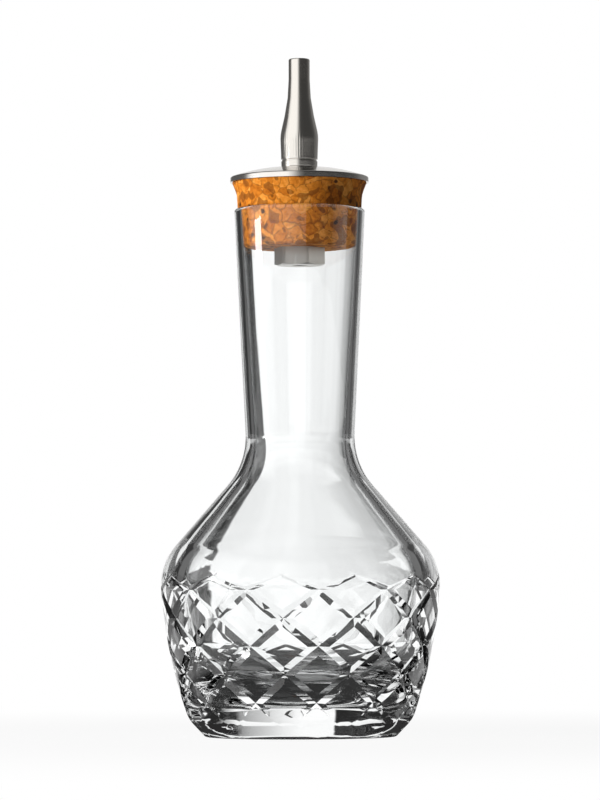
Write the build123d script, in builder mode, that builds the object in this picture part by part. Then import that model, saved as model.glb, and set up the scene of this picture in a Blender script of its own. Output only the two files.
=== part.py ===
from build123d import *

import os
from math import cos, radians, tan

# A cut-glass bitters bottle with a cork stopper that carries a steel dasher spout.
# Lengths are in millimetres and angles in degrees. The bottle stands on the XY plane and its
# axis is Z. The front of the bottle faces -Y.

os.makedirs("parts", exist_ok=True)

# Outside of the glass: the corners of its outline before they are rounded
rim_height = 120.0
rim_radius = 14.95
waist_height = 62.1  # where the neck turns out into the shoulder
waist_radius = 12.12
belly_height = 39.0  # where the shoulder turns down into the side
belly_radius = 32.1
side_height = 19.4  # the side is gently bowed about this height
side_radius = 30.54
heel_height = 4.0  # below here the side turns in towards the foot
heel_radius = 25.45
foot_radius = 21.63
neck_round = 17.0
belly_round = 14.0
side_round = 109.0
heel_round = 8.0
foot_round = 0.8
lip_round = 0.75
ring_inner_radius = 15.5  # the flat ring that the bottle stands on ends here
punt_height = 1.6  # hollow of the underside

# Inside of the glass
lip_wall = 1.6
neck_wall = 2.25
belly_wall = 5.2
floor_wall = 3.0  # beside the floor, before the round between them
base_thickness = 8.5
waist_drop = 1.4  # the corners inside sit lower than the ones outside by these
belly_drop = 1.8
neck_bore_round = 18.3
belly_bore_round = 10.8
floor_round = 16.0

# The cut pattern: two families of V-grooves that cross in rows around the belly
groove_count = 12
row_count = 4  # rows between the lowest and the highest crossing
lowest_row = 8.0
highest_row = 33.2
scallop_rise = 3.2  # the grooves meet in points this far above the highest crossing
groove_depth = 0.65
groove_half_width = 1.5
groove_overrun = 0.9  # the cutter stands this far out of the glass
sections_per_row = 2
# Run-outs as pairs: a share of a row beyond the last crossing and a share of the depth
lower_run_out_shares = ((-0.42, -0.06), (-0.2, 0.7))
upper_run_out_shares = ((0, 0.6), (0.5, 0.36), (1.0, 0.2), (1.15, -0.08))
search_steps = 30  # halvings in finding a height on the skin

# Cork
plug_depth = 9.0
cork_exposed = 6.0
cork_top_radius = 15.4
cork_collar_radius = 14.15  # just above the rim of the glass
cork_waist_radius = 14.3
cork_waist_height = 3.4  # above the rim, where the cork begins to flare
cork_flare_round = 6.0
cork_chamfer = 0.6
cork_gap = 0.06

# Domed steel disc
disc_radius = 15.8
disc_edge = 1.2
disc_rise = 3.4  # from its underside to the land that the spout stands on
disc_land_radius = 4.6
disc_dome_round = 40.0
disc_edge_round = 0.4
disc_hole_gap = 0.1

# Hollow hexagon-head bolt that clamps disc and cork to the spout
bolt_radius = 3.0
bolt_bore_radius = 1.5
bolt_reach = 5.0  # above the disc, inside the spout
bolt_mouth_chamfer = 0.4
bolt_end_chamfer = 0.5
bolt_cork_gap = 0.05
head_across_flats = 10.2
head_height = 4.0
head_sides = 6
head_bevel_height = 0.8
head_turn = -17.6  # the bolt as it happens to sit, turned about its axis

# Dasher spout
spout_length = 25.0
foot_outer_radius = 4.1
collar_radius = 4.35
collar_height = 7.6
nozzle_radius = 2.42
flare_length = 8.4
flare_round = 38.0
shoulder_round = 8.0
nozzle_edge_round = 0.35
spout_edge_chamfer = 0.2
channel_radius = 1.4
orifice_radius = 0.8
orifice_length = 3.5
socket_gap = 0.1
socket_spare = 1.0  # room above the end of the bolt
knurl_count = 44
knurl_depth = 0.16
knurl_start = 2.0
knurl_length = 4.8
ring_height = 1.5  # turned ring line below the knurl
ring_depth = 0.2
ring_width = 0.35

# Seal in the foot of the spout
seal_radius = 3.5
seal_height = 0.7
seal_edge_round = 0.15
seal_gap = 0.05

overrun = 1.0  # length by which a cutting tool passes the face it opens
round_share = 0.98  # of the line between two corners, the most that their rounds take up

cork_bottom = rim_height - plug_depth
cork_top = rim_height + cork_exposed
disc_top = cork_top + disc_rise


def radius_between(lower, upper, height):
    """Radius at a height on the straight line between two corners of an outline."""
    share = (height - lower[1]) / (upper[1] - lower[1])
    return lower[0] + (upper[0] - lower[0]) * share


def fitting_rounds(corners, rounds):
    """Rounds for the inner corners of an outline, made smaller where two of them would meet."""
    runs = [Vector(end) - Vector(start) for start, end in zip(corners, corners[1:])]
    reaches = [0]
    for before, after, radius in zip(runs, runs[1:], rounds):
        reaches.append(radius * tan(radians(before.get_angle(after)) / 2))
    reaches.append(0)
    fits = []
    for run, reach, next_reach in zip(runs, reaches, reaches[1:]):
        fits.append(min(1, round_share * run.length / (reach + next_reach)))
    return [radius * min(pair) for radius, pair in zip(rounds, zip(fits, fits[1:]))]


# Glass. The outer skin runs from the foot ring up to the rim, the bore from the rim down to
# the middle of the floor.
skin_corners = [
    (ring_inner_radius, 0),
    (foot_radius, 0),
    (heel_radius, heel_height),
    (side_radius, side_height),
    (belly_radius, belly_height),
    (waist_radius, waist_height),
    (rim_radius, rim_height),
]
skin_rounds = [foot_round, heel_round, side_round, belly_round, neck_round]

bore_rim = (rim_radius - lip_wall, rim_height)
bore_waist = (waist_radius - neck_wall, waist_height - waist_drop)
bore_belly = (belly_radius - belly_wall, belly_height - belly_drop)
skin_at_floor = radius_between(skin_corners[2], skin_corners[3], base_thickness)
bore_floor = (skin_at_floor - floor_wall, base_thickness)
bore_corners = [bore_rim, bore_waist, bore_belly, bore_floor, (0, base_thickness)]
bore_rounds = [lip_round, lip_round, neck_bore_round, belly_bore_round, floor_round]

glass_corners = skin_corners + bore_corners
glass_rounds = fitting_rounds(glass_corners, skin_rounds + bore_rounds)

with BuildLine(Plane.XZ) as skin_line:
    FilletPolyline(*skin_corners, radius=glass_rounds[: len(skin_rounds)])
skin = skin_line.wires()[0]

row_pitch = (highest_row - lowest_row) / row_count
row_turn = 180 / groove_count

# Sections of a groove: rows passed, share of the next row, height of that row, share of depth
groove_stations = [(0, share, row_pitch, depth) for share, depth in lower_run_out_shares]
for count in range(row_count * sections_per_row):
    groove_stations.append((0, (count + 0.5) / sections_per_row, row_pitch, 1))
for share, depth in upper_run_out_shares:
    groove_stations.append((row_count, share, scallop_rise, depth))


def skin_share(height):
    """Share of the way along the skin at which it reaches a height."""
    low, high = 0, 1
    for _ in range(search_steps):
        middle = (low + high) / 2
        if skin.position_at(middle).Z < height:
            low = middle
        else:
            high = middle
    return (low + high) / 2


def groove_plane(rows, share, pitch, hand):
    """Plane square to a groove, with its origin on the skin and its y axis pointing out."""
    place = skin_share(lowest_row + rows * row_pitch + share * pitch)
    point = skin.position_at(place)
    up = skin.tangent_at(place)
    outward = Vector(up.Z, 0, -up.X)
    sideways = Vector(0, hand * radians(row_turn) * point.X, 0)
    along = (up * (pitch / up.Z) + sideways).normalized()
    turn = hand * row_turn * (rows + share)
    return Plane(
        origin=point.rotate(Axis.Z, turn),
        x_dir=outward.cross(along).rotate(Axis.Z, turn),
        z_dir=along.rotate(Axis.Z, turn),
    )


def groove_cutter(hand):
    """One groove of a family: hand is 1 for the grooves that climb to the right, else -1."""
    with BuildPart() as cutter:
        for rows, share, pitch, depth_share in groove_stations:
            depth = groove_depth * depth_share
            half_width = groove_half_width / groove_depth * (depth + groove_overrun)
            with BuildSketch(groove_plane(rows, share, pitch, hand)):
                Polygon(
                    (0, -depth),
                    (half_width, groove_overrun),
                    (-half_width, groove_overrun),
                    align=None,
                )
        loft(ruled=True)
    return cutter.part


right_groove = groove_cutter(1)
left_groove = groove_cutter(-1)

with BuildPart() as glass_bottle:
    with BuildSketch(Plane.XZ):
        with BuildLine():
            FilletPolyline(*glass_corners, radius=glass_rounds)
            Line((0, base_thickness), (0, punt_height))
            TangentArc((0, punt_height), (ring_inner_radius, 0), tangent=(1, 0))
        make_face()
    revolve(axis=Axis.Z)
    with PolarLocations(0, groove_count):
        add(right_groove, mode=Mode.SUBTRACT)
        add(left_groove, mode=Mode.SUBTRACT)
glass_bottle.part.label = "glass_bottle"
export_step(glass_bottle.part, "parts/glass_bottle.step")

# Cork: a tapered plug, a seat that follows the rounded lip, and a flared head
seat_radius = bore_rim[0] - cork_gap
seat_height = rim_height + cork_gap
plug_radius = radius_between(bore_waist, bore_rim, cork_bottom) - cork_gap
seat_corners = [
    (plug_radius, cork_bottom),
    (seat_radius, seat_height),
    (cork_collar_radius, seat_height),
]
head_corners = [
    (cork_collar_radius, seat_height),
    (cork_waist_radius, rim_height + cork_waist_height),
    (cork_top_radius, cork_top),
]
head_rounds = fitting_rounds(head_corners, [cork_flare_round])

with BuildPart() as cork_stopper:
    with BuildSketch(Plane.XZ):
        with BuildLine():
            seat = FilletPolyline(*seat_corners, radius=lip_round + cork_gap)
            head = FilletPolyline(*head_corners, radius=head_rounds)
            Polyline(head @ 1, (0, cork_top), (0, cork_bottom), seat @ 0)
        make_face()
    revolve(axis=Axis.Z)
    lower_rim = cork_stopper.edges().filter_by(GeomType.CIRCLE).group_by(Axis.Z)[0]
    chamfer(lower_rim, cork_chamfer)
    with Locations((0, 0, cork_top)):
        Hole(bolt_radius + bolt_cork_gap)
cork_stopper.part.label = "cork_stopper"
export_step(cork_stopper.part, "parts/cork_stopper.step")

# Disc: flat below, domed above, with a flat land in the middle for the spout
with BuildPart() as cap_disc:
    with BuildSketch(Plane.XZ):
        with BuildLine():
            Polyline(
                (0, disc_top),
                (0, cork_top),
                (disc_radius, cork_top),
                (disc_radius, cork_top + disc_edge),
            )
            RadiusArc(
                (disc_radius, cork_top + disc_edge),
                (disc_land_radius, disc_top),
                -disc_dome_round,
            )
            Line((disc_land_radius, disc_top), (0, disc_top))
        make_face()
    revolve(axis=Axis.Z)
    widest = cap_disc.edges().filter_by(GeomType.CIRCLE).sort_by(SortBy.RADIUS)[-2:]
    fillet(widest, disc_edge_round)
    with Locations((0, 0, disc_top)):
        Hole(bolt_radius + disc_hole_gap)
cap_disc.part.label = "cap_disc"
export_step(cap_disc.part, "parts/cap_disc.step")

# Bolt: the head is under the cork, the shank passes cork and disc up into the spout
head_bottom = cork_bottom - head_height
bolt_top = disc_top + bolt_reach
head_corner_radius = head_across_flats / 2 / cos(radians(180 / head_sides))

with BuildPart() as hollow_bolt:
    with BuildSketch(Plane.XY.offset(head_bottom)):
        RegularPolygon(head_across_flats / 2, head_sides, False, rotation=head_turn)
    extrude(amount=head_height)
    with BuildSketch(Plane.XZ):
        with BuildLine():
            Polyline(
                (head_across_flats / 2 - overrun, head_bottom - overrun),
                (head_across_flats / 2, head_bottom),
                (head_corner_radius + overrun, head_bottom + head_bevel_height),
                (head_corner_radius + overrun, head_bottom - overrun),
                close=True,
            )
        make_face()
    revolve(axis=Axis.Z, mode=Mode.SUBTRACT)
    with BuildSketch(Plane.XY.offset(cork_bottom)):
        Circle(bolt_radius)
    extrude(amount=bolt_top - cork_bottom)
    chamfer(hollow_bolt.edges().group_by(Axis.Z)[-1], bolt_end_chamfer)
    with Locations((0, 0, bolt_top)):
        Hole(bolt_bore_radius)
    mouth = hollow_bolt.edges().filter_by(GeomType.CIRCLE).group_by(Axis.Z)[0]
    chamfer(mouth.sort_by(SortBy.RADIUS)[0], bolt_mouth_chamfer)
hollow_bolt.part.label = "hollow_bolt"
export_step(hollow_bolt.part, "parts/hollow_bolt.step")

# Seal: a flat ring around the bolt
with BuildPart() as spout_seal:
    with BuildSketch(Plane.XY.offset(disc_top)):
        Circle(seal_radius)
        Circle(bolt_radius + seal_gap, mode=Mode.SUBTRACT)
    extrude(amount=seal_height)
    fillet(spout_seal.edges(), seal_edge_round)
spout_seal.part.label = "spout_seal"
export_step(spout_seal.part, "parts/spout_seal.step")

# Spout: a turned outline, bored in steps, with a straight knurl and a ring line
nozzle_start = disc_top + collar_height + flare_length
spout_top = disc_top + spout_length
foot_corner = (foot_outer_radius, disc_top)
collar_corner = (collar_radius, disc_top + collar_height)
spout_corners = [
    foot_corner,
    collar_corner,
    (nozzle_radius, nozzle_start),
    (nozzle_radius, spout_top),
    (0, spout_top),
]
spout_rounds = fitting_rounds(spout_corners, [shoulder_round, flare_round, nozzle_edge_round])
ring_start = disc_top + ring_height
ring_floor_radius = radius_between(foot_corner, collar_corner, ring_start) - ring_depth
knurl_ends = (disc_top + knurl_start, disc_top + knurl_start + knurl_length)
knurl_half_width = knurl_depth + overrun  # the grooves are cut at right angles

with BuildPart() as knurl_groove:
    for height in knurl_ends:
        groove_bottom = radius_between(foot_corner, collar_corner, height) - knurl_depth
        with BuildSketch(Plane.XY.offset(height)):
            Polygon(
                (groove_bottom, 0),
                (groove_bottom + knurl_half_width, -knurl_half_width),
                (groove_bottom + knurl_half_width, knurl_half_width),
                align=None,
            )
    loft()

with BuildPart() as dasher_spout:
    with BuildSketch(Plane.XZ):
        with BuildLine():
            outline = FilletPolyline(*spout_corners, radius=spout_rounds)
            Polyline(outline @ 1, (0, disc_top), outline @ 0)
        make_face()
    revolve(axis=Axis.Z)
    chamfer(dasher_spout.edges().group_by(Axis.Z)[0], spout_edge_chamfer)
    with BuildSketch(Plane.XY.offset(disc_top)):
        Circle(seal_radius + seal_gap)
    extrude(amount=seal_height, mode=Mode.SUBTRACT)
    with BuildSketch(Plane.XY.offset(disc_top)):
        Circle(bolt_radius + socket_gap)
    extrude(amount=bolt_reach + socket_spare, mode=Mode.SUBTRACT)
    with BuildSketch(Plane.XY.offset(disc_top)):
        Circle(channel_radius)
    extrude(amount=spout_length - orifice_length, mode=Mode.SUBTRACT)
    with Locations((0, 0, spout_top)):
        Hole(orifice_radius)
    with BuildSketch(Plane.XY.offset(ring_start)):
        Circle(collar_radius + overrun)
        Circle(ring_floor_radius, mode=Mode.SUBTRACT)
    extrude(amount=ring_width, mode=Mode.SUBTRACT)
    with PolarLocations(0, knurl_count):
        add(knurl_groove.part, mode=Mode.SUBTRACT)
dasher_spout.part.label = "dasher_spout"
export_step(dasher_spout.part, "parts/dasher_spout.step")
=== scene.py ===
from math import atan2, ceil, cos, pi, radians, sin, tan

import bpy
from mathutils import Matrix, Vector


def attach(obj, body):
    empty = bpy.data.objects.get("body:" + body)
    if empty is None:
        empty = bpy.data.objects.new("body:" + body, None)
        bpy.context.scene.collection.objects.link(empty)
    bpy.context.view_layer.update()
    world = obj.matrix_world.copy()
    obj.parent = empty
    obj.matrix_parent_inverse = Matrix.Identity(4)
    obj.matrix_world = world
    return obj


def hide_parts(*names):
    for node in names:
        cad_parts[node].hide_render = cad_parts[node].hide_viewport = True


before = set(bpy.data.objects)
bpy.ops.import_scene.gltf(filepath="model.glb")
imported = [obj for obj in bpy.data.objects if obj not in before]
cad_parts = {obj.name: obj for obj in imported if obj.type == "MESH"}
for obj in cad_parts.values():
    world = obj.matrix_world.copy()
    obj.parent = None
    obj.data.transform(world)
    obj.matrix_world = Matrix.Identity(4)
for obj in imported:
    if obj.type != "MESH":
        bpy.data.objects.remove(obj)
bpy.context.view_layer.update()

# Bottle. One thick-walled piece of clear glass, blown into a mould, with its rim and foot
# ground and fire-polished. Two families of V-grooves are wheel-cut into the belly and
# acid-polished, so that the glass stays bright inside the cuts.
mm = 0.001  # of the scene's metres
scene = bpy.context.scene
rim_height, rim_radius = 120.0 * mm, 14.95 * mm
waist_height, waist_radius = 62.1 * mm, 12.12 * mm
belly_height, belly_radius = 39.0 * mm, 32.1 * mm
side_height, side_radius = 19.4 * mm, 30.54 * mm
heel_height, heel_radius = 4.0 * mm, 25.45 * mm
foot_radius, ring_inner_radius, punt_height = 21.63 * mm, 15.5 * mm, 1.6 * mm
base_thickness = 8.5 * mm
lip_wall, neck_wall, belly_wall, floor_wall = 1.6 * mm, 2.25 * mm, 5.2 * mm, 3.0 * mm
waist_drop, belly_drop = 1.4 * mm, 1.8 * mm
skin_rounds = [0.8 * mm, 8.0 * mm, 109.0 * mm, 14.0 * mm, 17.0 * mm]
bore_rounds = [0.75 * mm, 0.75 * mm, 18.3 * mm, 10.8 * mm, 16.0 * mm]
arc_step, longest_run = radians(2.5), 4.0 * mm
fine_arc_step, fine_run = arc_step / 5, 1 * mm
punt_rings = 8

groove_count, row_count = 12, 4
lowest_row, highest_row, scallop_rise = 8.0 * mm, 33.2 * mm, 3.2 * mm
groove_depth, groove_half_width = 0.65 * mm, 1.5 * mm
row_turn = pi / groove_count
cut_from, cut_to = -1, row_count + 2  # rows between which the skin has the lattice
cut_top, cut_margin = 41.5 * mm, 0.2 * mm
# Depth of the grooves, as pairs of a row and a share of the full depth
depth_shares = [
    (-0.4, 0), (-0.2, 0.7), (0.25, 1), (3.3, 1), (4, 0.6), (4.5, 0.36), (5, 0.2), (5.12, 0),
]
least_groove_share = 0.02  # of a cell of the lattice
least_climb = 1 * mm  # from row to row
groove_steps, flat_steps, share_steps = 2, 12, 16


def rounded_outline(corners, rounds, step, longest):
    """Points of an outline in the plane of x and z, each with its normal to the left."""

    def left_of(run):
        """Direction to the left of a run."""
        return Vector((-run.z, 0, run.x)).normalized()

    corners = [Vector((x, 0, z)) for x, z in corners]
    line = [(corners[0], left_of(corners[1] - corners[0]))]

    def run_to(point, normal):
        """Straight run to a point, divided evenly."""
        start = line[-1][0]
        steps = max(1, ceil((point - start).length / longest))
        for count in range(1, steps):
            line.append((start.lerp(point, count / steps), normal))
        line.append((point, normal))

    for before, corner, after, radius in zip(corners, corners[1:], corners[2:], rounds):
        back, on = (before - corner).normalized(), (after - corner).normalized()
        half = back.angle(on) / 2
        centre = corner + (back + on).normalized() * (radius / sin(half))
        reach = radius / tan(half)
        first = (corner + back * reach - centre).normalized()
        last = (corner + on * reach - centre).normalized()
        bend = 1 if left_of(corner - before).dot(first) > 0 else -1
        steps = max(2, ceil(first.angle(last) / step))
        run_to(centre + first * radius, first * bend)
        for count in range(1, steps + 1):
            spoke = first.slerp(last, count / steps)
            line.append((centre + spoke * radius, spoke * bend))
    run_to(corners[-1], left_of(corners[-1] - corners[-2]))
    return line


def between(pairs, place):
    """Value at a place between pairs of a place and a value, level past both ends."""
    for (left, low), (right, high) in zip(pairs, pairs[1:]):
        if place <= right:
            return low + (high - low) * max(0, (place - left) / (right - left))
    return pairs[-1][1]


skin_corners = [
    (ring_inner_radius, 0), (foot_radius, 0), (heel_radius, heel_height),
    (side_radius, side_height), (belly_radius, belly_height), (waist_radius, waist_height),
    (rim_radius, rim_height),
]
outer_at_floor = between(
    [(heel_height, heel_radius), (side_height, side_radius)], base_thickness
)
bore_corners = [
    (rim_radius - lip_wall, rim_height),
    (waist_radius - neck_wall, waist_height - waist_drop),
    (belly_radius - belly_wall, belly_height - belly_drop),
    (outer_at_floor - floor_wall, base_thickness),
    (0, base_thickness),
]
outline = rounded_outline(
    skin_corners + bore_corners, skin_rounds + bore_rounds, arc_step, longest_run
)
cut_bottom = lowest_row + cut_from * (highest_row - lowest_row) / row_count
row_heights = [
    (cut_from, cut_bottom), (0, lowest_row), (row_count, highest_row),
    (row_count + 1, highest_row + scallop_rise), (cut_to, cut_top),
]
top = max(range(len(outline)), key=lambda place: outline[place][0].z)
heel = [point for point, normal in outline[:top] if point.z < cut_bottom - cut_margin]
shoulder_and_bore = [
    point for point, normal in outline[:top] if point.z > cut_top + cut_margin
]
shoulder_and_bore += [point for point, normal in outline[top:-1]]
punt_round = (ring_inner_radius**2 + punt_height**2) / (2 * punt_height)
punt = []
for count in range(1, punt_rings):
    x = ring_inner_radius * count / punt_rings
    punt.append(Vector((x, 0, punt_height - x**2 / (2 * punt_round))))

fine_skin = rounded_outline(skin_corners, skin_rounds, fine_arc_step, fine_run)
fine_skin = [(point, normal) for point, normal in fine_skin if point.z > 0]
skin_radii = [(point.z, point.x) for point, normal in fine_skin]
skin_slopes = [(point.z, -normal.x) for point, normal in fine_skin]
skin_rises = [(point.z, -normal.z) for point, normal in fine_skin]

cell = 2 * groove_steps + flat_steps
columns = groove_count * cell


def lattice(index, share):
    """Place on the lattice of a column, whose cell has steps in each groove half and between."""
    whole, step = divmod(index, cell)
    if step <= groove_steps:
        return whole + share * step / groove_steps
    if step >= cell - groove_steps:
        return whole + 1 - share * (cell - step) / groove_steps
    return whole + share + (1 - 2 * share) * (step - groove_steps) / flat_steps


def on_skin(azimuth, height):
    """Point on the uncut skin and the direction that points out of the glass there."""
    radius = between(skin_radii, height)
    slope, rise = between(skin_slopes, height), between(skin_rises, height)
    outward = Vector((cos(azimuth) * slope, sin(azimuth) * slope, rise)).normalized()
    return Vector((cos(azimuth) * radius, sin(azimuth) * radius, height)), outward


def groove_share(row):
    """Share of a cell of the lattice that half a groove takes up at a row."""
    height = between(row_heights, row)
    near = 0.25  # of the way to the next row
    climb = between(row_heights, row + near) - between(row_heights, row - near)
    climb = max(climb / (2 * near), least_climb)
    arc = between(skin_radii, height) * row_turn
    spacing = 2 * arc * cos(atan2(arc, climb))
    return max(least_groove_share, groove_half_width * between(depth_shares, row) / spacing)


shares = [
    (step / share_steps, groove_share(step / share_steps))
    for step in range(share_steps * cut_from, share_steps * cut_to + 1)
]

points, right_places, left_places, cell_shares, fades, outwards = [], [], [], [], [], []


def add_point(point, right=0.5, left=0.5, share=1.0, fade=0.0, outward=Vector((0, 0, 1))):
    """Add a point with its place on the lattice, its cut's share of depth and its normal."""
    points.append(point)
    right_places.append(right)
    left_places.append(left)
    cell_shares.append(share)
    fades.append(fade)
    outwards.append(outward)


def add_rings(line, row):
    """Rings of points around the axis, one for each point of a line, turned as a row is."""
    for point in line:
        for column in range(columns):
            azimuth = row_turn * (2 * lattice(column, least_groove_share) + row)
            add_point(Vector((point.x * cos(azimuth), point.x * sin(azimuth), point.z)))


def add_cut_rings():
    """Rings of the lattice, whose points move with the groove edges."""
    for rise in range(cell * cut_from, cell * cut_to + 1):
        for column in range(columns):
            share = between(shares, rise / cell)
            right, left = lattice(column, share), lattice(column + rise, share)
            height = between(row_heights, left - right)
            point, outward = on_skin(row_turn * (left + right), height)
            fade = between(depth_shares, left - right)
            add_point(point, right, left, share, fade, outward)


add_point(Vector((0, 0, punt_height)))
add_rings(punt + heel, cut_from)
first_cut_ring = len(punt) + len(heel)
add_cut_rings()
last_cut_ring = first_cut_ring + cell * (cut_to - cut_from)
add_rings(shoulder_and_bore, cut_to)
add_point(Vector((0, 0, base_thickness)))


def corner(ring, column):
    """Number of the point at a ring and a column."""
    return 1 + ring * columns + column % columns


ring_count = (len(points) - 2) // columns
faces = []
for column in range(columns):
    faces.append((0, corner(0, column + 1), corner(0, column)))
    end = corner(ring_count - 1, column), corner(ring_count - 1, column + 1)
    faces.append((*end, len(points) - 1))
    for ring in range(ring_count - 1):
        if not first_cut_ring <= ring < last_cut_ring:
            pair = corner(ring, column), corner(ring, column + 1)
            faces.append((*pair, corner(ring + 1, column + 1), corner(ring + 1, column)))
    low = first_cut_ring
    faces.append((corner(low, column), corner(low, column + 1), corner(low + 1, column)))
    high = last_cut_ring
    faces.append((corner(high, column), corner(high - 1, column + 1), corner(high, column + 1)))
    for ring in range(first_cut_ring + 1, last_cut_ring):
        square = (
            corner(ring, column), corner(ring - 1, column + 1),
            corner(ring, column + 1), corner(ring + 1, column),
        )
        right_step, left_step = column % cell, (column + ring - first_cut_ring) % cell
        by_right = right_step < groove_steps, right_step >= cell - groove_steps
        by_left = left_step < groove_steps, left_step >= cell - groove_steps
        if any(by_right) and any(by_left):
            if by_right == by_left:
                faces.append((square[0], square[1], square[2]))
                faces.append((square[0], square[2], square[3]))
            else:
                faces.append((square[0], square[1], square[3]))
                faces.append((square[1], square[2], square[3]))
        else:
            faces.append(square)


def add(tree, kind, inputs=None, stops=(), **settings):
    """Add a node with its settings and the stops of its ramp. Inputs are values or links."""
    node = tree.nodes.new(kind)
    for name, value in settings.items():
        setattr(node, name, value)
    for place, (position, colour) in enumerate(stops):
        ramp = node.color_ramp.elements
        stop = ramp[place] if place < 2 else ramp.new(position)
        stop.position, stop.color = position, colour
    for name, value in (inputs or {}).items():
        if isinstance(value, bpy.types.Node):
            value = value.outputs[0]
        if isinstance(value, bpy.types.NodeSocket):
            tree.links.new(value, node.inputs[name])
        else:
            node.inputs[name].default_value = value
    return node


def linear(hex_colour):
    """Linear colour of an sRGB hex value."""
    shares = [int(hex_colour[place:place + 2], 16) / 255 for place in (0, 2, 4)]
    return [s / 12.92 if s <= 0.04045 else ((s + 0.055) / 1.055) ** 2.4 for s in shares] + [1]


def new_material(name):
    """Material with an empty tree."""
    material = bpy.data.materials.new(name)
    material.use_nodes = True
    material.node_tree.nodes.clear()
    return material, material.node_tree


# Soda-lime glass, fire-polished: mirror-smooth and colourless, with the faint waves that
# blowing leaves, and a dull ring of fine scratches where the foot rubs on the shelf. Light
# goes through it to the floor, so its shadow is pale.
waves_per_metre, wave_height = 90, 0.6 * mm  # one in 11 mm
rub_top, rub_bottom, rub_roughness = 0.35 * mm, 0.02 * mm, 0.25
glass, tree = new_material("soda_lime_glass_polished")
place = add(tree, "ShaderNodeTexCoord").outputs["Object"]
waves = add(tree, "ShaderNodeTexNoise", {"Vector": place, "Scale": waves_per_metre, "Detail": 1})
bump = add(tree, "ShaderNodeBump", {"Height": waves, "Strength": 0.05, "Distance": wave_height})
height = add(tree, "ShaderNodeSeparateXYZ", {0: place}).outputs["Z"]
rub = add(
    tree, "ShaderNodeMapRange",
    {"Value": height, "From Min": rub_top, "From Max": rub_bottom, "To Max": rub_roughness},
)
clear = add(
    tree, "ShaderNodeBsdfPrincipled",
    {"Base Color": linear("FDFEFE"), "IOR": 1.52, "Transmission Weight": 1, "Roughness": rub,
     "Normal": bump},
)
see_through = add(tree, "ShaderNodeBsdfTransparent", {0: linear("F4F6F6")})
shadow = add(tree, "ShaderNodeLightPath").outputs["Is Shadow Ray"]
mix = add(tree, "ShaderNodeMixShader", {0: shadow, 1: clear, 2: see_through})
add(tree, "ShaderNodeOutputMaterial", {"Surface": mix})


def new_geometry_tree(name, sizes):
    """Tree of geometry nodes with named inputs for its sizes and for the material."""
    tree = bpy.data.node_groups.new(name, "GeometryNodeTree")
    tree.interface.new_socket("Geometry", in_out="INPUT", socket_type="NodeSocketGeometry")
    for size in sizes:
        tree.interface.new_socket(size, in_out="INPUT", socket_type="NodeSocketFloat")
    tree.interface.new_socket("Material", in_out="INPUT", socket_type="NodeSocketMaterial")
    tree.interface.new_socket("Geometry", in_out="OUTPUT", socket_type="NodeSocketGeometry")
    return tree, add(tree, "NodeGroupInput")


def finish_carving(tree, start, outward, depth):
    """End a tree that cuts into its mesh by a depth, with real geometry and its material."""
    into = add(tree, "ShaderNodeMath", {0: depth, 1: -1}, operation="MULTIPLY")
    offset = add(tree, "ShaderNodeVectorMath", {0: outward, "Scale": into}, operation="SCALE")
    moved = add(
        tree, "GeometryNodeSetPosition",
        {"Geometry": start.outputs["Geometry"], "Offset": offset},
    )
    real = add(tree, "GeometryNodeRealizeInstances", {"Geometry": moved})
    named = add(
        tree, "GeometryNodeSetMaterial",
        {"Geometry": real, "Material": start.outputs["Material"]},
    )
    add(tree, "NodeGroupOutput", {"Geometry": named})


def new_mesh(name, points, faces, attributes=()):
    """Mesh of points and faces, with a value for each point under each attribute."""
    mesh = bpy.data.meshes.new(name)
    mesh.from_pydata(points, [], faces)
    for title, values in attributes:
        if isinstance(values[0], Vector):
            layer = mesh.attributes.new(title, "FLOAT_VECTOR", "POINT")
            layer.data.foreach_set("vector", [part for value in values for part in value])
        else:
            layer = mesh.attributes.new(title, "FLOAT", "POINT")
            layer.data.foreach_set("value", values)
    mesh.update()
    return mesh


def shaped(name, mesh, tree, inputs):
    """Piece made of a mesh by a tree of geometry nodes, as a plain mesh."""
    blank = bpy.data.objects.new(name + "_blank", mesh)
    scene.collection.objects.link(blank)
    modifier = blank.modifiers.new(tree.name, "NODES")
    modifier.node_group = tree
    for socket in tree.interface.items_tree:
        if socket.in_out == "INPUT" and socket.name in inputs:
            modifier[socket.identifier] = inputs[socket.name]
    bpy.context.view_layer.update()
    evaluated = blank.evaluated_get(bpy.context.evaluated_depsgraph_get())
    made = bpy.data.meshes.new_from_object(evaluated)
    bpy.data.objects.remove(blank)
    piece = bpy.data.objects.new(name, made)
    made.name = name
    scene.collection.objects.link(piece)
    return piece


def smooth(piece, angle):
    """Shade a piece smooth but for its edges sharper than an angle in degrees."""
    piece.data.shade_smooth()
    piece.data.set_sharp_from_angle(angle=radians(angle))


# The wheel goes in along the normal, deepest on the lines of the lattice
lattice_values = {
    "right_place": right_places, "left_place": left_places, "cell_share": cell_shares,
    "fade": fades, "outward": outwards,
}
tree, start = new_geometry_tree("wheel_cut", ["Groove depth"])
read = {}
for title in lattice_values:
    data_type = "FLOAT_VECTOR" if title == "outward" else "FLOAT"
    named = add(tree, "GeometryNodeInputNamedAttribute", {"Name": title}, data_type=data_type)
    read[title] = named.outputs["Attribute"]
flanks = []
for side in ("right_place", "left_place"):
    off_line = add(tree, "ShaderNodeMath", {0: read[side], 1: 0.5}, operation="PINGPONG")
    off = add(tree, "ShaderNodeMath", {0: off_line, 1: read["cell_share"]}, operation="DIVIDE")
    flanks.append(add(tree, "ShaderNodeMath", {0: 1, 1: off}, operation="SUBTRACT"))
depth = flanks[0]
for operation, value in (
    ("MAXIMUM", flanks[1]), ("MAXIMUM", 0), ("MULTIPLY", read["fade"]),
    ("MULTIPLY", start.outputs["Groove depth"]),
):
    depth = add(tree, "ShaderNodeMath", {0: depth, 1: value}, operation=operation)
finish_carving(tree, start, read["outward"], depth)
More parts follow.
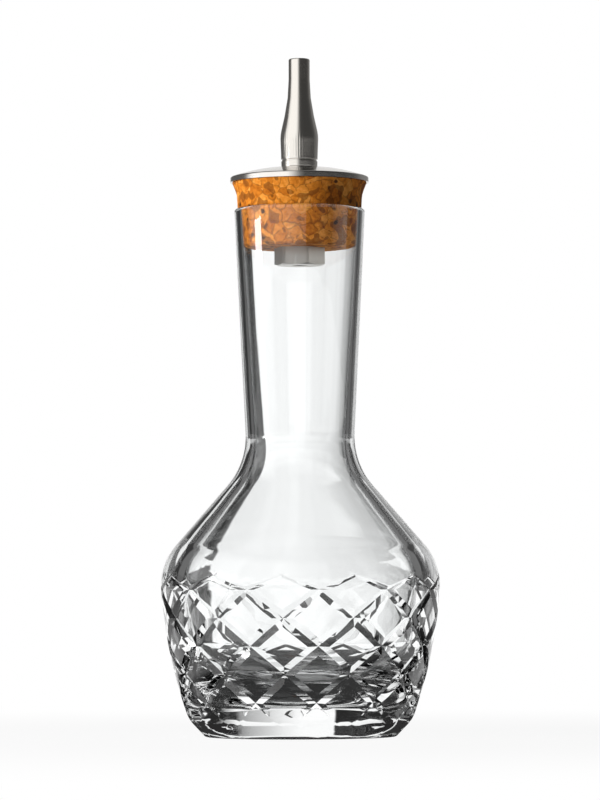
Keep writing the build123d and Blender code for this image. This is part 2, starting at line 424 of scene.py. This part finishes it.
bottle = shaped(
    "bottle", new_mesh("blown_bottle", points, faces, lattice_values.items()), tree,
    {"Groove depth": groove_depth, "Material": glass},
)
for title in lattice_values:
    bottle.data.attributes.remove(bottle.data.attributes[title])
smooth(bottle, angle=15)
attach(bottle, "bottle")
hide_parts("glass_bottle")

# Cork. Agglomerated cork: granules 2 to 3 mm across, pressed with binder into a rod, ground to
# a tapered plug with a flared head, and pushed into the mouth by hand.
cork_bottom, cork_top = rim_height - 9.0 * mm, rim_height + 6.0 * mm
cork_gap = 0.06 * mm
cork_seat_radius = rim_radius - lip_wall - cork_gap
cork_plug_radius = 12.76 * mm
cork_collar_radius, cork_waist_radius, cork_top_radius = 14.15 * mm, 14.3 * mm, 15.4 * mm
cork_waist_height = rim_height + 3.4 * mm
cork_hole_radius, cork_chamfer, cork_edge = 3.05 * mm, 0.6 * mm, 0.12 * mm
cork_seat_round, cork_flare_round = 0.81 * mm, 6 * mm
cork_arc_step, cork_step, cork_columns = radians(12), 0.3 * mm, 300
granule, crack_depth = 2.6 * mm, 0.14 * mm


def loft(columns, count):
    """Faces of a closed outline of points that is repeated around the axis."""
    faces = []
    for column in range(columns):
        here, beside = column * count, (column + 1) % columns * count
        for place in range(count):
            after = (place + 1) % count
            faces.append((here + place, beside + place, beside + after, here + after))
    return faces


def lathe(name, line, columns):
    """Mesh of a closed outline turned around the axis, seen with its outside on the left."""
    points = []
    for column in range(columns):
        turn = 2 * pi * column / columns
        points += [(p.x * cos(turn), p.x * sin(turn), p.z) for p in line]
    return new_mesh(name, points, loft(columns, len(line)))


cork_middle = (cork_hole_radius, (cork_bottom + cork_top) / 2)
cork_corners = [
    cork_middle, (cork_hole_radius, cork_bottom),
    (cork_plug_radius - cork_chamfer, cork_bottom),
    (cork_plug_radius, cork_bottom + cork_chamfer), (cork_seat_radius, rim_height + cork_gap),
    (cork_collar_radius, rim_height + cork_gap), (cork_waist_radius, cork_waist_height),
    (cork_top_radius, cork_top), (cork_hole_radius, cork_top), cork_middle,
]
cork_rounds = [
    cork_edge, cork_edge, cork_edge, cork_seat_round, cork_edge, cork_flare_round, cork_edge,
    cork_edge,
]
cork_line = rounded_outline(cork_corners, cork_rounds, cork_arc_step, cork_step)
cork_line = [point for point, normal in cork_line[:-1]]

# Agglomerated cork, ground: dry and matt, warm brown granules of several shades, with dark
# cracks where they meet and small dark pores from the bark.
bend_width, bend_reach = 2 * mm, 1.4 * mm
grain_width, break_width, pore_spacing, pit_width = mm / 1.1, mm / 0.35, mm / 0.45, mm / 3.2
granule_contrast, grain_contrast, shade_start = 0.3, 0.62, 0.12
crack_width_swing, crack_width_start, crack_darkness = 0.5, -0.22, 0.6
few_from, few_to, pore_rim, pore_core, pore_darkness = 0.6, 0.7, 0.34, 0.2, 0.92
pit_depth = 0.1 * mm
cork_brown, tree = new_material("agglomerated_cork_ground")
place = add(tree, "ShaderNodeTexCoord").outputs["Object"]
bend = add(tree, "ShaderNodeTexNoise", {"Vector": place, "Scale": 1 / bend_width, "Detail": 2})
bend = add(
    tree, "ShaderNodeVectorMath",
    {0: bend.outputs["Color"], 1: (0.5, 0.5, 0.5)}, operation="SUBTRACT",
)
bend = add(tree, "ShaderNodeVectorMath", {0: bend, "Scale": bend_reach}, operation="SCALE")
bent_place = add(tree, "ShaderNodeVectorMath", {0: place, 1: bend}, operation="ADD")
cells = add(tree, "ShaderNodeTexVoronoi", {"Vector": bent_place, "Scale": 1 / granule})
seams = add(
    tree, "ShaderNodeTexVoronoi", {"Vector": bent_place, "Scale": 1 / granule},
    feature="DISTANCE_TO_EDGE",
)
grain = add(
    tree, "ShaderNodeTexNoise",
    {"Vector": bent_place, "Scale": 1 / grain_width, "Detail": 6, "Roughness": 0.65},
)
shade = add(
    tree, "ShaderNodeMath",
    {0: cells.outputs["Color"], 1: granule_contrast, 2: shade_start}, operation="MULTIPLY_ADD",
)
shade = add(
    tree, "ShaderNodeMath", {0: grain, 1: grain_contrast, 2: shade}, operation="MULTIPLY_ADD",
)
tones = add(tree, "ShaderNodeValToRGB", {0: shade}, [
    (0.25, linear("7E3A0C")), (0.42, linear("A95C16")), (0.58, linear("CE7C24")),
    (0.8, linear("F2A850")),
])
# The cracks come and go, since their width swings to below nothing
breaks = add(tree, "ShaderNodeTexNoise", {"Vector": place, "Scale": 1 / break_width, "Detail": 1})
width = add(
    tree, "ShaderNodeMath", {0: breaks, 1: crack_width_swing, 2: crack_width_start},
    operation="MULTIPLY_ADD",
)
off = add(tree, "ShaderNodeMath", {0: seams.outputs["Distance"], 1: width}, operation="DIVIDE")
crack = add(tree, "ShaderNodeMath", {0: 1, 1: off}, operation="SUBTRACT")
crack = add(tree, "ShaderNodeMapRange", {"Value": crack, "To Max": crack_darkness})
cracked = add(
    tree, "ShaderNodeMix", {0: crack, 6: tones, 7: linear("5A2C0E")}, data_type="RGBA",
)
pores = add(tree, "ShaderNodeTexVoronoi", {"Vector": bent_place, "Scale": 1 / pore_spacing})
choice = add(tree, "ShaderNodeSeparateColor", {0: pores.outputs["Color"]}).outputs[1]
few = add(
    tree, "ShaderNodeMapRange", {"Value": choice, "From Min": few_from, "From Max": few_to},
)
near = add(
    tree, "ShaderNodeMapRange",
    {"Value": pores.outputs["Distance"], "From Min": pore_rim, "From Max": pore_core},
)
pore = add(tree, "ShaderNodeMath", {0: few, 1: near}, operation="MULTIPLY")
pore = add(tree, "ShaderNodeMath", {0: pore, 1: pore_darkness}, operation="MULTIPLY")
pored = add(
    tree, "ShaderNodeMix", {0: pore, 6: cracked.outputs[2], 7: linear("2E1407")},
    data_type="RGBA",
)
pits = add(tree, "ShaderNodeTexNoise", {"Vector": place, "Scale": 1 / pit_width, "Detail": 3})
bump = add(tree, "ShaderNodeBump", {"Height": pits, "Strength": 0.5, "Distance": pit_depth})
dry = add(
    tree, "ShaderNodeBsdfPrincipled",
    {"Base Color": pored.outputs[2], "Roughness": 0.85, "Specular IOR Level": 0.25,
     "Normal": bump},
)
add(tree, "ShaderNodeOutputMaterial", {"Surface": dry})

# Granules tear out along their seams when the cork is ground
torn_reach = 0.12  # of a granule
torn_everywhere, torn_width = 0.35, mm / 0.9  # share of the crack depth, and its size
tree, start = new_geometry_tree("cork_granules", ["Granule", "Crack depth"])
position = add(tree, "GeometryNodeInputPosition")
size = add(tree, "ShaderNodeMath", {0: 1, 1: start.outputs["Granule"]}, operation="DIVIDE")
seam = add(
    tree, "ShaderNodeTexVoronoi", {"Vector": position, "Scale": size},
    feature="DISTANCE_TO_EDGE",
)
torn = add(
    tree, "ShaderNodeMapRange",
    {"Value": seam.outputs["Distance"], "From Min": torn_reach, "From Max": 0},
)
rough = add(tree, "ShaderNodeTexNoise", {"Vector": position, "Scale": 1 / torn_width, "Detail": 3})
torn = add(tree, "ShaderNodeMath", {0: torn, 1: rough}, operation="MULTIPLY")
torn = add(
    tree, "ShaderNodeMath", {0: rough, 1: torn_everywhere, 2: torn}, operation="MULTIPLY_ADD",
)
depth = add(
    tree, "ShaderNodeMath", {0: torn, 1: start.outputs["Crack depth"]}, operation="MULTIPLY",
)
finish_carving(tree, start, add(tree, "GeometryNodeInputNormal"), depth)
cork = shaped(
    "cork", lathe("ground_cork", cork_line, cork_columns), tree,
    {"Granule": granule, "Crack depth": crack_depth, "Material": cork_brown},
)
smooth(cork, angle=40)
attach(cork, "stopper")
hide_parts("cork_stopper")

# Disc. Stainless steel sheet, pressed to a shallow dome, with a rolled edge, then spun and
# polished on a lathe. It lies on the cork and the spout is screwed down on it.
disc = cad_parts["cap_disc"]


def turned_steel(name, tone, roughness, line_pitch, line_depth):
    """Stainless steel, turned: grey and bright, with fine lines around the axis."""
    smear_width, smear_roughness, line_roughness = mm / 0.22, 0.12, 0.1
    steel, tree = new_material(name)
    place = add(tree, "ShaderNodeTexCoord").outputs["Object"]
    parts = add(tree, "ShaderNodeSeparateXYZ", {0: place}).outputs
    square = add(tree, "ShaderNodeMath", {0: parts["X"], 1: parts["X"]}, operation="MULTIPLY")
    square = add(
        tree, "ShaderNodeMath", {0: parts["Y"], 1: parts["Y"], 2: square},
        operation="MULTIPLY_ADD",
    )
    radius = add(tree, "ShaderNodeMath", {0: square}, operation="SQRT")
    around = add(tree, "ShaderNodeCombineXYZ", {0: radius, 2: parts["Z"]})
    lines = add(
        tree, "ShaderNodeTexNoise",
        {"Vector": around, "Scale": 1 / line_pitch, "Detail": 4, "Roughness": 0.6},
    )
    smears = add(
        tree, "ShaderNodeTexNoise", {"Vector": place, "Scale": 1 / smear_width, "Detail": 3},
    )
    rubbed = add(
        tree, "ShaderNodeMath",
        {0: smears, 1: smear_roughness, 2: roughness - smear_roughness / 2},
        operation="MULTIPLY_ADD",
    )
    rubbed = add(
        tree, "ShaderNodeMath", {0: lines, 1: line_roughness, 2: rubbed},
        operation="MULTIPLY_ADD",
    )
    bump = add(
        tree, "ShaderNodeBump", {"Height": lines, "Strength": 0.6, "Distance": line_depth},
    )
    metal = add(
        tree, "ShaderNodeBsdfPrincipled",
        {"Base Color": linear(tone), "Metallic": 1, "Roughness": rubbed, "Normal": bump},
    )
    add(tree, "ShaderNodeOutputMaterial", {"Surface": metal})
    return steel


# Stainless steel, spun and polished: a bright, slightly soft mirror with faint rings. The
# rings of all three steels are coarser than real ones, so that the render can show them.
spun_steel = turned_steel(
    "stainless_steel_spun_polished", "C9C5C0", roughness=0.12, line_pitch=0.45 * mm,
    line_depth=0.004 * mm,
)
for slot in disc.material_slots:
    slot.material = spun_steel

# Bolt. Stainless M6 bolt with a hexagon head, cold-headed, thread rolled, bored through so
# that the drops pass. It clamps cork and disc and carries the spout on its thread.
bolt_radius, bolt_bore_radius, bolt_top = 3.0 * mm, 1.5 * mm, cork_top + 8.4 * mm
bolt_mouth_chamfer, bolt_end_chamfer = 0.4 * mm, 0.5 * mm
head_across_flats, head_height, head_turn = 10.2 * mm, 4.0 * mm, radians(-17.6)
head_bottom = cork_bottom - head_height
head_bevel_slope, head_bevel_start = 0.8 / 1.79, 0.01 * mm
thread_pitch, thread_depth, thread_length = 1.0 * mm, 0.6 * mm, 12.0 * mm
thread_inside = 2.94 * mm  # only points farther out are cut
crest_end, root_start = 0.06, 0.42  # of the pitch, from the middle of the crest
bolt_columns, thread_step = 96, 0.1 * mm


def hexagon_radius(turn):
    """Radius of the hexagon at an angle."""
    off_middle = (turn - head_turn) % (pi / 3) - pi / 6
    return head_across_flats / 2 / cos(off_middle)


bolt_line = [
    (bolt_bore_radius, head_bottom + bolt_mouth_chamfer),
    (bolt_bore_radius + bolt_mouth_chamfer, head_bottom),
    (head_across_flats / 2, head_bottom), "bevel", "top", (bolt_radius, cork_bottom),
]
thread_bottom = bolt_top - thread_length
thread_rings = round((thread_length - bolt_end_chamfer) / thread_step)
for count in range(thread_rings + 1):
    bolt_line.append((bolt_radius, thread_bottom + count * thread_step))
bolt_line += [(bolt_radius - bolt_end_chamfer, bolt_top), (bolt_bore_radius, bolt_top)]
points = []
for column in range(bolt_columns):
    turn = 2 * pi * column / bolt_columns
    for stop in bolt_line:
        if stop == "bevel":
            radius = hexagon_radius(turn)
            rise = (radius - head_across_flats / 2) * head_bevel_slope
            height = head_bottom + rise + head_bevel_start
        elif stop == "top":
            radius, height = hexagon_radius(turn), cork_bottom
        else:
            radius, height = stop
        points.append((radius * cos(turn), radius * sin(turn), height))
headed_blank = new_mesh("headed_blank", points, loft(bolt_columns, len(bolt_line)))


def place_round_axis(tree):
    """Share of a turn, height, direction out from the axis and distance from it."""
    position = add(tree, "GeometryNodeInputPosition")
    parts = add(tree, "ShaderNodeSeparateXYZ", {0: position}).outputs
    turn = add(tree, "ShaderNodeMath", {0: parts["Y"], 1: parts["X"]}, operation="ARCTAN2")
    turn = add(tree, "ShaderNodeMath", {0: turn, 1: 2 * pi}, operation="DIVIDE")
    out = add(tree, "ShaderNodeVectorMath", {0: position, 1: (1, 1, 0)}, operation="MULTIPLY")
    radius = add(tree, "ShaderNodeVectorMath", {0: out}, operation="LENGTH").outputs["Value"]
    radial = add(tree, "ShaderNodeVectorMath", {0: out}, operation="NORMALIZE")
    return turn, parts["Z"], radial, radius


def run_out(tree, height, bottom, top, length):
    """Share that grows from 0 at both ends of a stretch to 1 within a length."""
    after = add(tree, "ShaderNodeMath", {0: height, 1: bottom}, operation="SUBTRACT")
    before = add(tree, "ShaderNodeMath", {0: top, 1: height}, operation="SUBTRACT")
    share = add(tree, "ShaderNodeMath", {0: after, 1: before}, operation="MINIMUM")
    return add(
        tree, "ShaderNodeMath", {0: share, 1: length}, operation="DIVIDE", use_clamp=True,
    )


# Stainless steel, brushed: a dull grey sheen without clear reflections
bolt_steel = turned_steel(
    "stainless_steel_brushed", "C4C0BA", roughness=0.3, line_pitch=0.3 * mm,
    line_depth=0.02 * mm,
)
tree, start = new_geometry_tree(
    "rolled_thread", ["Pitch", "Thread depth", "Thread bottom", "Thread top", "Inside"]
)
sizes = start.outputs
turn, height, radial, radius = place_round_axis(tree)
phase = add(tree, "ShaderNodeMath", {0: height, 1: sizes["Pitch"]}, operation="DIVIDE")
phase = add(tree, "ShaderNodeMath", {0: phase, 1: turn}, operation="SUBTRACT")
phase = add(tree, "ShaderNodeMath", {0: phase, 1: 0.5}, operation="PINGPONG")
depth = add(
    tree, "ShaderNodeMapRange", {"Value": phase, "From Min": crest_end, "From Max": root_start},
)
lead = run_out(tree, height, sizes["Thread bottom"], sizes["Thread top"], sizes["Pitch"])
on_shank = add(
    tree, "ShaderNodeMath", {0: radius, 1: sizes["Inside"]}, operation="GREATER_THAN",
)
for share in (lead, on_shank, sizes["Thread depth"]):
    depth = add(tree, "ShaderNodeMath", {0: depth, 1: share}, operation="MULTIPLY")
finish_carving(tree, start, radial, depth)
bolt = shaped(
    "bolt", headed_blank, tree,
    {"Pitch": thread_pitch, "Thread depth": thread_depth, "Thread bottom": thread_bottom,
     "Thread top": bolt_top, "Inside": thread_inside, "Material": bolt_steel},
)
smooth(bolt, angle=20)
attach(bolt, "stopper")
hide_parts("hollow_bolt")

# Seal. A flat ring of moulded silicone rubber in the foot of the spout, which presses it on
# the disc, so that nothing leaks past the thread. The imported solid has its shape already.
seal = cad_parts["spout_seal"]

# Silicone rubber, moulded: soft and milky, pale grey, with a dull, faintly clouded skin.
cloud_width, cloud_height = mm / 1.2, 0.02 * mm
silicone, tree = new_material("silicone_rubber_moulded")
place = add(tree, "ShaderNodeTexCoord").outputs["Object"]
cloud = add(tree, "ShaderNodeTexNoise", {"Vector": place, "Scale": 1 / cloud_width, "Detail": 2})
milky = add(
    tree, "ShaderNodeMix",
    {0: cloud, 6: linear("C8C8C2"), 7: linear("DEDED8")}, data_type="RGBA",
)
bump = add(tree, "ShaderNodeBump", {"Height": cloud, "Strength": 0.3, "Distance": cloud_height})
rubber = add(
    tree, "ShaderNodeBsdfPrincipled",
    {"Base Color": milky.outputs[2], "Roughness": 0.45, "IOR": 1.41, "Normal": bump},
)
add(tree, "ShaderNodeOutputMaterial", {"Surface": rubber})
for slot in seal.material_slots:
    slot.material = silicone

# Spout. Stainless steel, turned from bar in one piece and bored from below, with a straight
# knurl on its collar for the fingers and a fine hole at the tip that lets out a dash.
disc_top = cork_top + 3.4 * mm
spout_top = disc_top + 25.0 * mm
knurl_count, knurl_columns, knurl_flank_columns = 44, 8, 2
knurl_depth = 0.03 * mm  # less than the CAD's, since the photo shows only fine lines
knurl_bottom, knurl_top, knurl_run_out = disc_top + 2.0 * mm, disc_top + 6.8 * mm, 0.25 * mm
knurl_inside = 3.8 * mm  # only points farther out are cut
seat_radius, seat_height, face_radius = 3.55 * mm, 0.7 * mm, 3.9 * mm
foot_chamfer, foot_top_radius = 0.2 * mm, 4.107 * mm
ring_bottom, ring_top, ring_radius = disc_top + 1.5 * mm, disc_top + 1.85 * mm, 3.95 * mm
below_ring_radius, above_ring_radius = 4.149 * mm, 4.161 * mm
collar_radius, collar_height = 4.35 * mm, 7.6 * mm
nozzle_radius, nozzle_height = 2.42 * mm, 16.0 * mm
orifice_radius, orifice_length, channel_radius = 0.8 * mm, 3.5 * mm, 1.4 * mm
tapping_radius, tapping_depth = 3.1 * mm, 6.0 * mm
collar_round, flare_round, tip_round, spout_edge = 8.0 * mm, 38.0 * mm, 0.35 * mm, 0.06 * mm
spout_arc_step, spout_step = radians(8), 0.35 * mm
seat_middle = (seat_radius, disc_top + 0.3 * mm)
spout_corners = [
    seat_middle, (seat_radius, disc_top), (face_radius, disc_top),
    (foot_top_radius, disc_top + foot_chamfer), (below_ring_radius, ring_bottom),
    (ring_radius, ring_bottom), (ring_radius, ring_top), (above_ring_radius, ring_top),
    (collar_radius, disc_top + collar_height), (nozzle_radius, disc_top + nozzle_height),
    (nozzle_radius, spout_top), (orifice_radius, spout_top),
    (orifice_radius, spout_top - orifice_length), (channel_radius, spout_top - orifice_length),
    (channel_radius, disc_top + tapping_depth), (tapping_radius, disc_top + tapping_depth),
    (tapping_radius, disc_top + seat_height), (seat_radius, disc_top + seat_height),
    seat_middle,
]
spout_rounds = [spout_edge] * 7 + [collar_round, flare_round, tip_round] + [spout_edge] * 7
spout_line = rounded_outline(spout_corners, spout_rounds, spout_arc_step, spout_step)
spout_line = [point for point, normal in spout_line[:-1]]

# Stainless steel, turned: a bright mirror, streaked up and down by what it reflects
spout_steel = turned_steel(
    "stainless_steel_turned", "C6C2BC", roughness=0.12, line_pitch=0.35 * mm,
    line_depth=0.004 * mm,
)
tree, start = new_geometry_tree(
    "straight_knurl", ["Grooves", "Groove depth", "Knurl bottom", "Knurl top", "Run-out", "Inside"]
)
sizes = start.outputs
turn, height, radial, radius = place_round_axis(tree)
turn = add(tree, "ShaderNodeMath", {0: turn, 1: sizes["Grooves"]}, operation="MULTIPLY")
turn = add(tree, "ShaderNodeMath", {0: turn, 1: 0.5}, operation="PINGPONG")
depth = add(
    tree, "ShaderNodeMath", {0: turn, 1: -knurl_columns / knurl_flank_columns, 2: 1},
    operation="MULTIPLY_ADD",
)
depth = add(tree, "ShaderNodeMath", {0: depth, 1: 0}, operation="MAXIMUM")
lead = run_out(tree, height, sizes["Knurl bottom"], sizes["Knurl top"], sizes["Run-out"])
outside = add(
    tree, "ShaderNodeMath", {0: radius, 1: sizes["Inside"]}, operation="GREATER_THAN",
)
for share in (lead, outside, sizes["Groove depth"]):
    depth = add(tree, "ShaderNodeMath", {0: depth, 1: share}, operation="MULTIPLY")
finish_carving(tree, start, radial, depth)
spout = shaped(
    "spout", lathe("turned_spout", spout_line, knurl_count * knurl_columns), tree,
    {"Grooves": knurl_count, "Groove depth": knurl_depth, "Knurl bottom": knurl_bottom,
     "Knurl top": knurl_top, "Run-out": knurl_run_out, "Inside": knurl_inside,
     "Material": spout_steel},
)
smooth(spout, angle=25)
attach(spout, "spout")
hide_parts("dasher_spout")

# Studio. White paper floor in white surroundings, a softbox and a small strip light on the
# left, and the camera far off and low. Glass and steel see white diffusers with dark gaps
# between them, and painted shade on the floor under the bottle, which draw their edges and
# the cuts.
camera_turn, camera_distance, camera_height = radians(7.6), 0.955, 31 * mm
aim_height, camera_roll = 76.4 * mm, radians(-0.15)
camera_data = bpy.data.cameras.new("camera")
camera_data.lens, camera_data.sensor_width = 189.0, 36.0
camera_data.clip_start, camera_data.clip_end = 0.05, 20
camera = bpy.data.objects.new("camera", camera_data)
scene.collection.objects.link(camera)
scene.camera = camera
eye = Vector((-sin(camera_turn), -cos(camera_turn), 0)) * camera_distance
eye.z = camera_height
aim = Vector((0, 0, aim_height))
camera.matrix_world = (
    Matrix.Translation(eye) @ (aim - eye).to_track_quat("-Z", "Y").to_matrix().to_4x4()
    @ Matrix.Rotation(camera_roll, 4, "Z")
)


def add_lamp(name, turn, distance, height, width, length, watts):
    """Flat lamp that faces the axis, turned to the left of the camera. Sizes in metres."""
    lamp = bpy.data.lights.new(name, "AREA")
    lamp.shape, lamp.size, lamp.size_y, lamp.energy = "RECTANGLE", width, length, watts
    stand = bpy.data.objects.new(name, lamp)
    scene.collection.objects.link(stand)
    toward = camera_turn + radians(turn)
    spot = Vector((-sin(toward), -cos(toward), 0)) * distance
    facing = spot.to_track_quat("Z", "Y").to_matrix().to_4x4()
    stand.matrix_world = Matrix.Translation(spot + Vector((0, 0, height))) @ facing
    stand.visible_camera = stand.visible_transmission = False
    return stand


softbox = add_lamp(
    "softbox", turn=60, distance=0.6, height=0.15, width=0.15, length=0.5, watts=5.9,
)
softbox.visible_glossy = False  # the strip light makes the highlight, narrower
add_lamp("strip_light", turn=79, distance=0.6, height=0.115, width=0.15, length=0.03, watts=0.21)

floor_reach = 6  # metres
floor_points = [
    (x * floor_reach, y * floor_reach, 0) for x, y in ((-1, -1), (1, -1), (1, 1), (-1, 1))
]
floor = bpy.data.objects.new("floor", new_mesh("floor", floor_points, [(0, 1, 2, 3)]))
scene.collection.objects.link(floor)

# Light behind the glass by degrees to the right of the middle of each side: a white diffuser
# with a sharp left edge and a soft right one, and a grey one at each corner
low_stops = [
    (-45, 0.12), (-40, 0.12), (-38, 0.02), (-12, 0.02), (-11.3, 1), (0, 1), (6, 0.85),
    (11, 0.66), (17, 0.5), (22, 0.32), (24, 0.02), (38, 0.02), (40, 0.12), (45, 0.12),
]
high_stops = [
    (-45, 0.15), (-40, 0.15), (-38, 0.02), (-30, 0.02), (-28, 1), (24, 1), (30, 0.02),
    (38, 0.02), (40, 0.15), (45, 0.15),
]


def azimuth_of(tree, toward):
    """Angle of a direction around the axis, from straight behind the bottle."""
    turned = add(
        tree, "ShaderNodeVectorRotate", {"Vector": toward, "Angle": camera_turn},
        rotation_type="Z_AXIS",
    )
    parts = add(tree, "ShaderNodeSeparateXYZ", {0: turned}).outputs
    return add(tree, "ShaderNodeMath", {0: parts["X"], 1: parts["Y"]}, operation="ARCTAN2")


def greys(stops, circle):
    """Stops of a ramp over a circle or a quarter of one, from stops in degrees."""
    return [(angle / circle + 0.5, (light, light, light, 1)) for angle, light in stops]


def window(tree, azimuth, stops):
    """Light of a pattern that is the same on all four sides."""
    quarter = add(
        tree, "ShaderNodeMath", {0: azimuth, 1: 2 / pi, 2: 0.5}, operation="MULTIPLY_ADD",
    )
    quarter = add(tree, "ShaderNodeMath", {0: quarter}, operation="FRACT")
    return add(tree, "ShaderNodeValToRGB", {0: quarter}, greys(stops, 90))


def bent_ray(tree, path):
    """Whether a ray comes from a mirror or through glass."""
    return add(
        tree, "ShaderNodeMath",
        {0: path.outputs["Is Glossy Ray"], 1: path.outputs["Is Transmission Ray"]},
        operation="MAXIMUM",
    )


# Paper, matt white: plain and pale, with the bottle's soft shadow. To the camera it turns
# white farther off. To mirrors and through glass it is as light as the backdrop, with painted
# shade under the bottle that reaches farther behind it, and the backdrop's pattern far away.
backdrop_glow = 1.06
paper_near, paper_far, paper_glow = 60 * mm, 260 * mm, 0.91
# The dark patch under the bottle is painted shade, not a card: near the bottle the paper glows
# only faintly to mirrors and through glass
painted_shade_reach, painted_shade_reach_behind, painted_shade_glow = 65 * mm, 125 * mm, 0.03
painted_shade_widens_from, painted_shade_widens_to = radians(60), radians(40)
painted_shade_edge_start, painted_shade_edge_end = 0.9, 1.1  # of its reach
pattern_start, pattern_end = 400 * mm, 480 * mm
low_pattern_start, low_pattern_end = 480 * mm, 580 * mm
paper, tree = new_material("matt_white_paper")
path = add(tree, "ShaderNodeLightPath")
place = add(tree, "ShaderNodeTexCoord").outputs["Object"]
away = add(tree, "ShaderNodeVectorMath", {0: place}, operation="LENGTH").outputs["Value"]
azimuth = azimuth_of(tree, place)
behind = add(tree, "ShaderNodeMath", {0: azimuth}, operation="ABSOLUTE")
behind = add(
    tree, "ShaderNodeMapRange",
    {"Value": behind, "From Min": painted_shade_widens_from, "From Max": painted_shade_widens_to},
)
reach = add(
    tree, "ShaderNodeMath", {0: behind, 1: painted_shade_reach_behind - painted_shade_reach, 2: painted_shade_reach},
    operation="MULTIPLY_ADD",
)
past_painted_shade = add(tree, "ShaderNodeMath", {0: away, 1: reach}, operation="DIVIDE")
# Painted shade: the glow to mirrors and through glass drops near the bottle, where shade falls
under = add(
    tree, "ShaderNodeMapRange",
    {"Value": past_painted_shade, "From Min": painted_shade_edge_start, "From Max": painted_shade_edge_end,
     "To Min": painted_shade_glow, "To Max": backdrop_glow},
    interpolation_type="SMOOTHSTEP",
)
low = add(
    tree, "ShaderNodeMapRange",
    {"Value": away, "From Min": low_pattern_start, "From Max": low_pattern_end},
)
sides = add(
    tree, "ShaderNodeMix",
    {0: low, 6: window(tree, azimuth, high_stops), 7: window(tree, azimuth, low_stops)},
    data_type="RGBA",
)
patterned = add(
    tree, "ShaderNodeMapRange",
    {"Value": away, "From Min": pattern_start, "From Max": pattern_end},
)
patterned = add(
    tree, "ShaderNodeMath", {0: path.outputs["Is Transmission Ray"], 1: patterned},
    operation="MULTIPLY",
)
sides = add(
    tree, "ShaderNodeMix", {0: patterned, 6: linear("FFFFFF"), 7: sides.outputs[2]},
    data_type="RGBA",
)
to_bent_rays = add(tree, "ShaderNodeEmission", {"Color": sides.outputs[2], "Strength": under})
whitening = add(
    tree, "ShaderNodeMapRange",
    {"Value": away, "From Min": paper_near, "From Max": paper_far, "To Min": paper_glow},
    interpolation_type="SMOOTHSTEP",
)
whitening = add(
    tree, "ShaderNodeMath", {0: path.outputs["Is Camera Ray"], 1: whitening},
    operation="MULTIPLY",
)
matt = add(tree, "ShaderNodeBsdfDiffuse", {"Color": linear("F4F4F4")})
white = add(tree, "ShaderNodeEmission", {"Color": linear("FFFFFF"), "Strength": 1})
mix = add(tree, "ShaderNodeMixShader", {0: whitening, 1: matt, 2: white})
mix = add(tree, "ShaderNodeMixShader", {0: bent_ray(tree, path), 1: mix, 2: to_bent_rays})
add(tree, "ShaderNodeOutputMaterial", {"Surface": mix})
floor.data.materials.append(paper)

# Surroundings: white to the camera, faint for plain light, so that the lamps shape the cork,
# and patterned to mirrors and through glass. What the steel mirrors goes once around.
diffuse_light, mirrored_glow = 0.09, 1.8
low_end, high_start = radians(5.4), radians(6)
mirrored_stops = [
    (-180, 0.15), (-172, 0.45), (-160, 0.9), (-105, 0.9), (-88, 0.7), (-80, 0.15), (-70, 0.08),
    (-20, 0.08), (-12, 0.5), (12, 0.5), (20, 0.15), (52, 0.15), (75, 0.06), (100, 0.04),
    (145, 0.04), (172, 0.05), (180, 0.15),
]
# Share of the light by height, from 0 straight down to 1 straight up
height_stops = [(0.42, 0.3), (0.47, 1), (0.8, 1), (0.88, 0.35), (1, 0.6)]
world = bpy.data.worlds.new("studio")
scene.world = world
world.use_nodes = True
tree = world.node_tree
tree.nodes.clear()
path = add(tree, "ShaderNodeLightPath")
toward = add(tree, "ShaderNodeTexCoord").outputs["Generated"]
azimuth = azimuth_of(tree, toward)
rise = add(tree, "ShaderNodeSeparateXYZ", {0: toward}).outputs["Z"]
high = add(
    tree, "ShaderNodeMapRange",
    {"Value": rise, "From Min": sin(low_end), "From Max": sin(high_start)},
)
behind_glass = add(
    tree, "ShaderNodeMix",
    {0: high, 6: window(tree, azimuth, low_stops), 7: window(tree, azimuth, high_stops)},
    data_type="RGBA",
)
whole = add(
    tree, "ShaderNodeMath", {0: azimuth, 1: 1 / (2 * pi), 2: 0.5}, operation="MULTIPLY_ADD",
)
mirrored = add(tree, "ShaderNodeValToRGB", {0: whole}, greys(mirrored_stops, 360))
mirrored = add(
    tree, "ShaderNodeVectorMath", {0: mirrored, "Scale": mirrored_glow}, operation="SCALE",
)
pattern = add(
    tree, "ShaderNodeMix",
    {0: path.outputs["Is Transmission Ray"], 6: mirrored, 7: behind_glass.outputs[2]},
    data_type="RGBA",
)
rise = add(tree, "ShaderNodeMath", {0: rise, 1: 0.5, 2: 0.5}, operation="MULTIPLY_ADD")
by_height = add(tree, "ShaderNodeValToRGB", {0: rise}, [
    (place, (light, light, light, 1)) for place, light in height_stops
])
pattern = add(
    tree, "ShaderNodeMix", {0: 1.0, 6: pattern.outputs[2], 7: by_height},
    data_type="RGBA", blend_type="MULTIPLY",
)
around = add(
    tree, "ShaderNodeBackground", {"Color": pattern.outputs[2], "Strength": backdrop_glow},
)
plain = add(
    tree, "ShaderNodeBackground", {"Color": linear("FFFFFF"), "Strength": diffuse_light},
)
white = add(tree, "ShaderNodeBackground", {"Color": linear("FFFFFF"), "Strength": 1})
mix = add(tree, "ShaderNodeMixShader", {0: bent_ray(tree, path), 1: plain, 2: around})
mix = add(tree, "ShaderNodeMixShader", {0: path.outputs["Is Camera Ray"], 1: mix, 2: white})
add(tree, "ShaderNodeOutputWorld", {"Surface": mix})

scene.view_settings.view_transform = "Standard"
